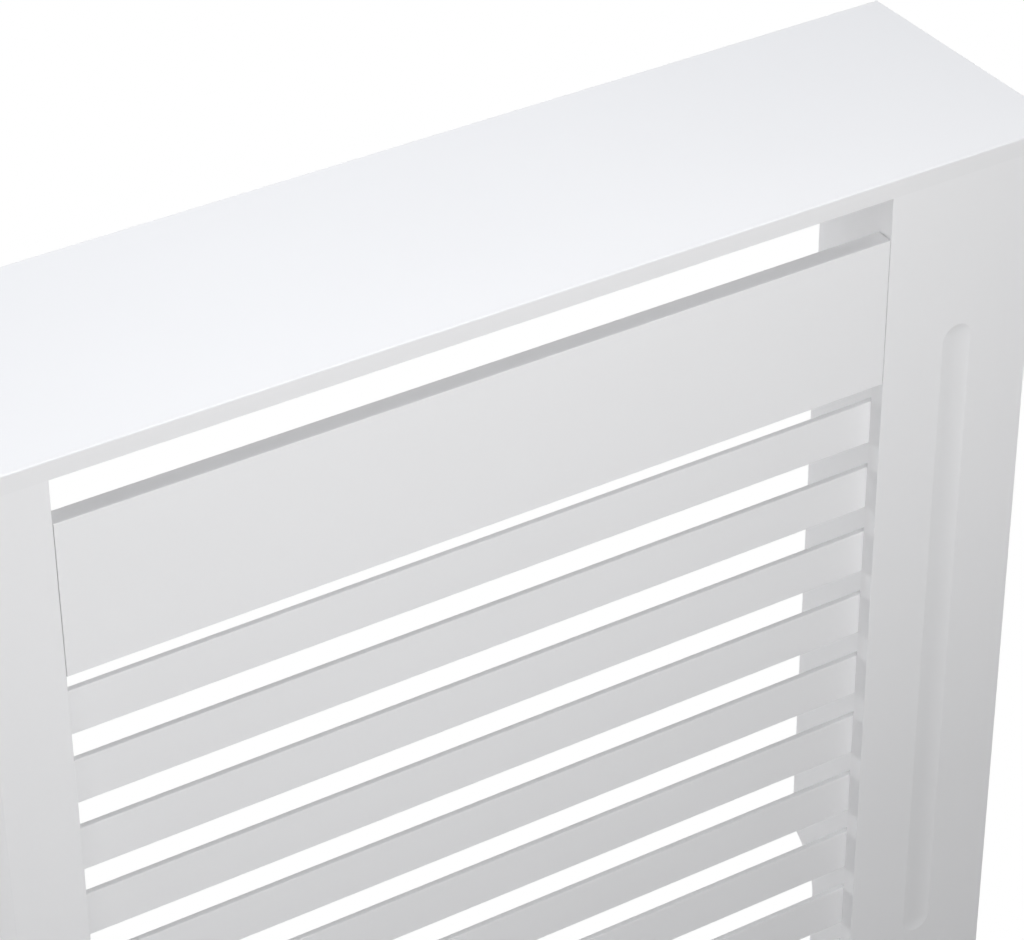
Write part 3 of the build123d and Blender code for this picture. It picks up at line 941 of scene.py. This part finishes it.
def thread_levels(start, end, pitch):
    """Heights from one end of a thread to the other, seven to a turn."""
    count = max(1, round((end - start) / (pitch / 7)))
    return [start + (end - start) * i / count for i in range(count + 1)]


class MakeDowels(bpy.types.Operator):
    """Makes the ribbed wooden dowels of the rails, stiles and side panels"""

    bl_idname = "radiator_cover.make_dowels"
    bl_label = "Dowels"

    def execute(self, context):
        count = settings().fittings.dowel_ribs
        chamfer, groove = 0.9 * MM, 0.28 * MM
        for seed, node in enumerate(DOWEL_NODES, start=11):
            boxes = solids_of(node)
            size = boxes[0][1] - boxes[0][0]
            whole, radius = max(size), min(size) / 2
            rings = [(0, radius - chamfer), (chamfer, radius)]
            rings += [(whole - chamfer, radius), (whole, radius - chamfer)]

            def ribs(turn, z, ring_radius):
                return 0.0 if ring_radius < radius else -groove * (0.5 - 0.5 * math.cos(turn * count))

            shape = bmesh.new()
            add_turned(shape, rings, 4 * count, ribs)
            dowel = new_piece("dowel", shape)
            axis = long_axis(*boxes[0])
            wood = surface("turned_beech_along_" + "xyz"[axis], turned_beech, axis)
            places = rod_places(boxes, rod_way)
            repeat_fitting("ribbed_" + node, node, dowel, places, wood, 2 * math.pi, seed)
        return {"FINISHED"}


class MakeCamBolts(bpy.types.Operator):
    """Makes the cam bolts: thread, collar, shank and ball head"""

    bl_idname = "radiator_cover.make_cam_bolts"
    bl_label = "Cam bolts"

    def execute(self, context):
        sizes = settings().fittings
        boxes = solids_of("cam_bolts")
        whole = max(boxes[0][1] - boxes[0][0])
        bite, pitch = sizes.bolt_bite, sizes.bolt_pitch
        ridge, chamfer, tip, blunt = 0.75 * MM, 0.25 * MM, 1.2 * MM, 0.45
        core = sizes.bolt_thread / 2 - ridge
        collar, shank, head = sizes.bolt_collar / 2, sizes.bolt_shank / 2, sizes.bolt_head / 2
        collar_end = bite + sizes.bolt_collar_length
        head_start = whole - sizes.bolt_head_length
        rings = [(0, core * blunt), (tip, core)]
        rings += [(z, core) for z in thread_levels(tip, bite, pitch)[1:-1]]
        rings += [(bite, core), (bite, collar - chamfer), (bite + chamfer, collar)]
        rings += [(collar_end - chamfer, collar), (collar_end, collar - chamfer), (collar_end, shank)]
        rings += [(head_start, shank)]
        # The ball head's profile runs from near one pole to near the other, a little fuller than round.
        ball_steps, ball_start, ball_turn, fullness = 8, 0.14 * math.pi, 0.70 * math.pi, 0.6
        for i in range(ball_steps + 1):
            way = i / ball_steps
            radius = head * math.sin(ball_start + ball_turn * way) ** fullness
            rings.append((head_start + sizes.bolt_head_length * way, radius))
        shape = bmesh.new()
        add_turned(shape, rings, HIDDEN_SIDES, thread(pitch, tip * 0.5, bite, ridge))
        bolt = new_piece("cam_bolt", shape)
        places = rod_places(boxes, bolt_way)
        name, metal = "threaded_cam_bolts", bright_zinc_plate()
        repeat_fitting(name, "cam_bolts", bolt, places, metal, 2 * math.pi, 3)
        return {"FINISHED"}


class MakeCams(bpy.types.Operator):
    """Makes the cams with their driving cross and the bore for the bolt's head"""

    bl_idname = "radiator_cover.make_cams"
    bl_label = "Cams"

    def execute(self, context):
        sizes = settings().fittings
        boxes, bolts = solids_of("cam_nuts"), solids_of("cam_bolts")
        low, high = boxes[0]
        thickness, radius, chamfer = high.x - low.x, (high.z - low.z) / 2, 0.4 * MM
        rings = [(0, radius - chamfer), (chamfer / 3, radius - chamfer / 3), (chamfer, radius)]
        rings += [(thickness - chamfer, radius), (thickness, radius - chamfer)]
        shape = bmesh.new()
        add_turned(shape, rings, SHOWN_SIDES)
        cam = new_piece("cam", shape)
        tools = bmesh.new()
        reach, width, depth = sizes.cam_cross_length / 2, sizes.cam_cross_width / 2, sizes.cam_cross_depth
        add_block(tools, (-reach, -width, -CUT_OVERRUN), (reach, width, depth))
        add_block(tools, (-width, -reach, -CUT_OVERRUN), (width, reach, depth))
        bolt_low, bolt_high = bolts[0]
        height = abs((bolt_low.x + bolt_high.x) / 2 - (low.x if low.x > 0 else high.x))
        past = max(bolt_high - bolt_low) - sizes.bolt_bite - sizes.cam_setback + sizes.bore_clearance
        bore = sizes.bolt_head / 2 + sizes.bore_clearance
        add_rod(tools, (-radius - CUT_OVERRUN, 0, height), (past, 0, height), bore, SHOWN_SIDES)
        # The curved way that the bolt's neck slides along as the cam is turned.
        way_steps, way_turn, way_start = 10, math.radians(95), 0.45 * radius
        neck = sizes.bolt_shank / 2 + sizes.bore_clearance
        for x, y in arc((0, 0), 1, math.pi, math.pi + way_turn, way_steps)[1:]:
            near, far = (Vector((x * r, y * r, height)) for r in (way_start, radius + CUT_OVERRUN))
            add_rod(tools, near, far, neck)
        cut(cam, tools)
        places = []
        for low, high in boxes:
            outwards = math.copysign(1, low.x)
            middle = (low + high) / 2
            near = min(bolts, key=lambda box: (box_ends(*box, bolt_way(*box))[1] - middle).length)
            middle.x = low.x if outwards > 0 else high.x
            places.append((middle, facing((outwards, 0, 0), bolt_way(*near))))
        repeat_fitting("cast_cams", "cam_nuts", cam, places, zinc_die_casting())
        return {"FINISHED"}


class MakeWallBrackets(bpy.types.Operator):
    """Makes the two bent steel angles under the back of the top board"""

    bl_idname = "radiator_cover.make_wall_brackets"
    bl_label = "Wall brackets"

    def execute(self, context):
        sizes, bend_steps, corner_steps, burr = settings().fittings, 8, 8, 0.25 * MM
        sheet, bend = sizes.bracket_thickness, sizes.bracket_bend
        for side in SIDES:
            node = f"{side}_wall_bracket"
            low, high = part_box(node)
            centre = (high.y - sheet - bend, high.z - sheet - bend)
            outline = [(low.y, high.z), (low.y, high.z - sheet)]
            outline += arc(centre, bend, math.pi / 2, 0, bend_steps)
            outline += [(high.y - sheet, low.z), (high.y, low.z)]
            outline += arc(centre, bend + sheet, 0, math.pi / 2, bend_steps)
            shape = bmesh.new()
            add_prism(shape, outline, low.x, high.x)

            def is_corner(a, b):
                through = abs(a.x - b.x) < HAIR and abs((a - b).length - sheet) < 10 * HAIR
                return through and (both_at(Y, low.y)(a, b) or both_at(Z, low.z)(a, b))

            ease(shape, sizes.bracket_corner, is_corner, segments=corner_steps)
            bracket = new_piece(f"{side}_bent_bracket", shape)
            tools = bmesh.new()
            middle_x, hole_z = (low.x + high.x) / 2, high.z - sizes.wall_hole_drop
            start = (middle_x, high.y - sheet - CUT_OVERRUN, hole_z)
            end = (middle_x, high.y + CUT_OVERRUN, hole_z)
            add_rod(tools, start, end, sizes.wall_hole / 2, SHOWN_SIDES)
            for screw in solids_of("bracket_screws"):
                start, end = box_ends(*screw, axis_vector(Z))
                if start.x * middle_x > 0:
                    start.z, end.z = high.z - sheet - CUT_OVERRUN, high.z + CUT_OVERRUN
                    add_rod(tools, start, end, sizes.screw_hole / 2, SHOWN_SIDES)
            cut(bracket, tools)
            eased = bracket.modifiers.new("Punched edges", "BEVEL")
            eased.limit_method = "ANGLE"
            eased.angle_limit = math.radians(60)
            eased.width = burr
            eased.segments = 2
            settle(bracket)
            finish(bracket, [node], [bright_zinc_plate()])
        return {"FINISHED"}


class MakeBracketScrews(bpy.types.Operator):
    """Makes the pan head screws that hold the brackets to the top board"""

    bl_idname = "radiator_cover.make_bracket_screws"
    bl_label = "Bracket screws"

    def execute(self, context):
        sizes = settings().fittings
        boxes = solids_of("bracket_screws")
        whole = boxes[0][1].z - boxes[0][0].z
        head, head_height, pitch = sizes.screw_head / 2, sizes.screw_head_height, sizes.screw_pitch
        ridge, neck, tip, point, run_out = 0.55 * MM, 1.0 * MM, 2.6 * MM, 0.08 * MM, 0.4 * MM
        core, plain = sizes.screw_diameter / 2 - ridge, head_height + neck
        # The pan head's dome is flatter than round, with a full rim and a flat middle for the drive.
        sides, dome_steps, dome_start, rise, fullness = 32, 9, 0.12, 0.8, 0.55
        rings = []
        for i in range(dome_steps + 1):
            turn = math.pi / 2 * (dome_start + (1 - dome_start) * i / dome_steps)
            rings.append((head_height * rise * (1 - math.cos(turn)), head * math.sin(turn) ** fullness))
        rings = [(z - rings[0][0], radius) for z, radius in rings]
        rings += [(head_height, head), (head_height, core), (plain, core)]
        rings += [(z, core) for z in thread_levels(plain, whole - tip, pitch)[1:]]
        for z in thread_levels(whole - tip, whole, pitch)[1:]:
            rings.append((z, max(core * (whole - z) / tip, point)))
        shape = bmesh.new()
        add_turned(shape, rings, sides, thread(pitch, plain, whole - run_out, ridge))
        screw = new_piece("screw", shape)
        drive = bmesh.new()
        reach, width, depth, taper = 1.9 * MM, 0.42 * MM, 1.35 * MM, 0.35
        for across in (X, Y):
            half = Vector((width, width, 0))
            half[across] = reach
            for vert in add_block(drive, -half - Vector((0, 0, CUT_OVERRUN)), half + Vector((0, 0, depth))):
                if vert.co.z > 0:
                    vert.co[across] *= taper
        cut(screw, drive)
        places = rod_places(boxes, rod_way)
        name, metal = "pan_head_screws", bright_zinc_plate()
        repeat_fitting(name, "bracket_screws", screw, places, metal, 2 * math.pi, 5)
        return {"FINISHED"}


# ---- Stage ----


def seen_apart(tree, shown, lighting):
    """Shows one shader to camera, mirror and glass rays, and lets another light the object."""
    path = add_node(tree, "ShaderNodeLightPath")
    seen = path.outputs["Is Camera Ray"]
    for ray in ("Is Glossy Ray", "Is Transmission Ray"):
        seen = add_node(tree, "ShaderNodeMath", {0: seen, 1: path.outputs[ray]}, operation="MAXIMUM")
    return add_node(tree, "ShaderNodeMixShader", {0: seen, 1: lighting, 2: shown})


def empty_tree(owner):
    """The node tree of a material or world, with nothing in it."""
    owner.use_nodes = True
    owner.node_tree.nodes.clear()
    return owner.node_tree


def studio_floor():
    """A plain pale studio floor: near the object the camera sees its shadow, farther out only white."""
    stage, tint = settings().stage, settings().colours.floor
    material = bpy.data.materials.new("pale_studio_floor")
    tree = empty_tree(material)
    lit = add_node(tree, "ShaderNodeBsdfDiffuse", {"Color": rgba(tint)})
    glow = add_node(tree, "ShaderNodeEmission", {"Color": rgba(WHITE), "Strength": stage.floor_glow})
    near = add_node(tree, "ShaderNodeAddShader", {0: lit, 1: glow})
    white = add_node(tree, "ShaderNodeEmission", {"Color": rgba(WHITE), "Strength": 1.0})
    spot = add_node(tree, "ShaderNodeTexCoord").outputs["Object"]
    offset = add_node(tree, "ShaderNodeVectorMath", {0: spot, 1: stage.shadow_middle}, operation="SUBTRACT")
    oval = add_node(tree, "ShaderNodeVectorMath", {0: offset, 1: stage.shadow_reach}, operation="DIVIDE")
    reach = add_node(tree, "ShaderNodeVectorMath", {0: oval}, operation="LENGTH").outputs["Value"]
    rim = {"Value": reach, "From Min": 1 - stage.shadow_fade, "From Max": 1.0}
    fade = add_node(tree, "ShaderNodeMapRange", rim, interpolation_type="SMOOTHSTEP")
    shown = add_node(tree, "ShaderNodeMixShader", {0: fade, 1: near, 2: white})
    bounce = add_node(tree, "ShaderNodeBsdfDiffuse", {"Color": rgba(tint, stage.floor_bounce)})
    add_node(tree, "ShaderNodeOutputMaterial", {"Surface": seen_apart(tree, shown, bounce)})
    return material


def room_light():
    """A world that is plain white to the camera and gives an even light to the object."""
    stage = settings().stage
    world = bpy.data.worlds.new("plain_studio")
    tree = empty_tree(world)
    white = add_node(tree, "ShaderNodeBackground", {"Color": rgba(WHITE), "Strength": 1.0})
    fill = add_node(tree, "ShaderNodeBackground", {"Color": rgba(stage.fill_colour), "Strength": stage.fill})
    add_node(tree, "ShaderNodeOutputWorld", {"Surface": seen_apart(tree, white, fill)})
    return world


def add_softbox(name, stand, size, watts, tint=WHITE, aim=LAMP_TARGET, spread=math.pi):
    """A large soft lamp that leaves no glare on the paint; a small spread stands for a grid on it."""
    lamp = bpy.data.lights.new("softbox_" + name, "AREA")
    lamp.shape = "RECTANGLE"
    lamp.size, lamp.size_y = size
    lamp.energy = watts
    lamp.spread = spread
    lamp.color = tint
    holder = new_object(lamp.name, lamp)
    holder.location = stand
    holder.visible_glossy = False
    holder.rotation_mode = "QUATERNION"
    holder.rotation_quaternion = (Vector(aim) - Vector(stand)).to_track_quat("-Z", "Y")


def photo_camera():
    """A camera at the photograph's place, angle and field of view."""
    stage = settings().stage
    camera = bpy.data.cameras.new("photo_camera")
    camera.sensor_width = 36.0
    camera.lens = stage.camera_lens
    camera.clip_start, camera.clip_end = 0.05, 60.0
    holder = new_object("photo_camera", camera)
    holder.location = stage.camera_place
    level = Euler((math.pi / 2 - stage.camera_elevation, 0, stage.camera_azimuth)).to_quaternion()
    holder.rotation_mode = "QUATERNION"
    holder.rotation_quaternion = level @ Quaternion((0, 0, 1), stage.camera_roll)
    return holder


class MakeStage(bpy.types.Operator):
    """Makes the floor, the lamps, the even room light and the camera"""

    bl_idname = "radiator_cover.make_stage"
    bl_label = "Stage"

    def execute(self, context):
        stage, floor_reach = settings().stage, 12
        shape = bmesh.new()
        bmesh.ops.create_grid(shape, x_segments=1, y_segments=1, size=floor_reach)
        floor = new_piece("studio_floor", shape)
        floor.data.materials.append(studio_floor())
        beam = {"aim": UPPER_GRILLE, "spread": stage.grid_spread}
        add_softbox("key", (0.0, -0.95, 1.35), (1.0, 0.6), stage.key_power)
        add_softbox("shelf", (-0.3, 0.25, 2.4), (1.6, 0.5), stage.shelf_power, stage.shelf_colour)
        add_softbox("front", (0.0, -2.0, 0.35), (1.6, 0.5), stage.front_power)
        add_softbox("left", (-1.5, -1.5, 0.45), (1.2, 0.6), stage.left_power)
        add_softbox("right", (2.0, 0.0, 0.9), (0.8, 1.0), stage.right_power)
        add_softbox("flank", (-2.0, 0.1, 0.9), (0.8, 1.0), stage.flank_power)
        add_softbox("back", (-0.5, 1.9, 0.45), (1.4, 0.7), stage.back_power)
        add_softbox("beam", (0.0, -2.0, 1.1), (1.4, 0.4), stage.beam_power, **beam)
        context.scene.world = room_light()
        context.scene.view_settings.view_transform = "Standard"
        context.scene.camera = photo_camera()
        return {"FINISHED"}


# ---- Panel and registration ----


class RadiatorCoverPanel(bpy.types.Panel):
    """Lists the cabinet's sizes and colours and the operators that make it"""

    bl_idname = "VIEW3D_PT_radiator_cover"
    bl_label = "Radiator cover"
    bl_space_type = "VIEW_3D"
    bl_region_type = "UI"
    bl_category = "Radiator cover"

    def draw(self, context):
        for group in ("boards", "grille", "fittings", "colours", "stage"):
            box = self.layout.box()
            box.label(text=group.capitalize())
            values = getattr(settings(), group)
            for key in values.bl_rna.properties.keys():
                if key not in ("rna_type", "name"):
                    box.prop(values, key)
        for operator in OPERATORS:
            self.layout.operator(operator.bl_idname)


GROUPS = (BoardSizes, GrilleSizes, FittingSizes, FinishColours, StageSettings, CabinetSettings)
OPERATORS = (
    MakeTopBoard,
    MakeStiles,
    MakeRails,
    MakeSidePanels,
    MakeSlats,
    MakeStaples,
    MakeDowels,
    MakeCamBolts,
    MakeCams,
    MakeWallBrackets,
    MakeBracketScrews,
    MakeStage,
)


def register():
    """Registers the settings, the operators and the panel."""
    for kind in (*GROUPS, *OPERATORS, RadiatorCoverPanel):
        bpy.utils.register_class(kind)
    bpy.types.Scene.radiator_cover = PointerProperty(type=CabinetSettings)


def unregister():
    """Takes the settings, the operators and the panel away again."""
    del bpy.types.Scene.radiator_cover
    for kind in reversed((*GROUPS, *OPERATORS, RadiatorCoverPanel)):
        bpy.utils.unregister_class(kind)


def main():
    """Makes every piece and the stage."""
    register()
    for operator in OPERATORS:
        group, name = operator.bl_idname.split(".")
        getattr(getattr(bpy.ops, group), name)()


if __name__ == "__main__":
    main()
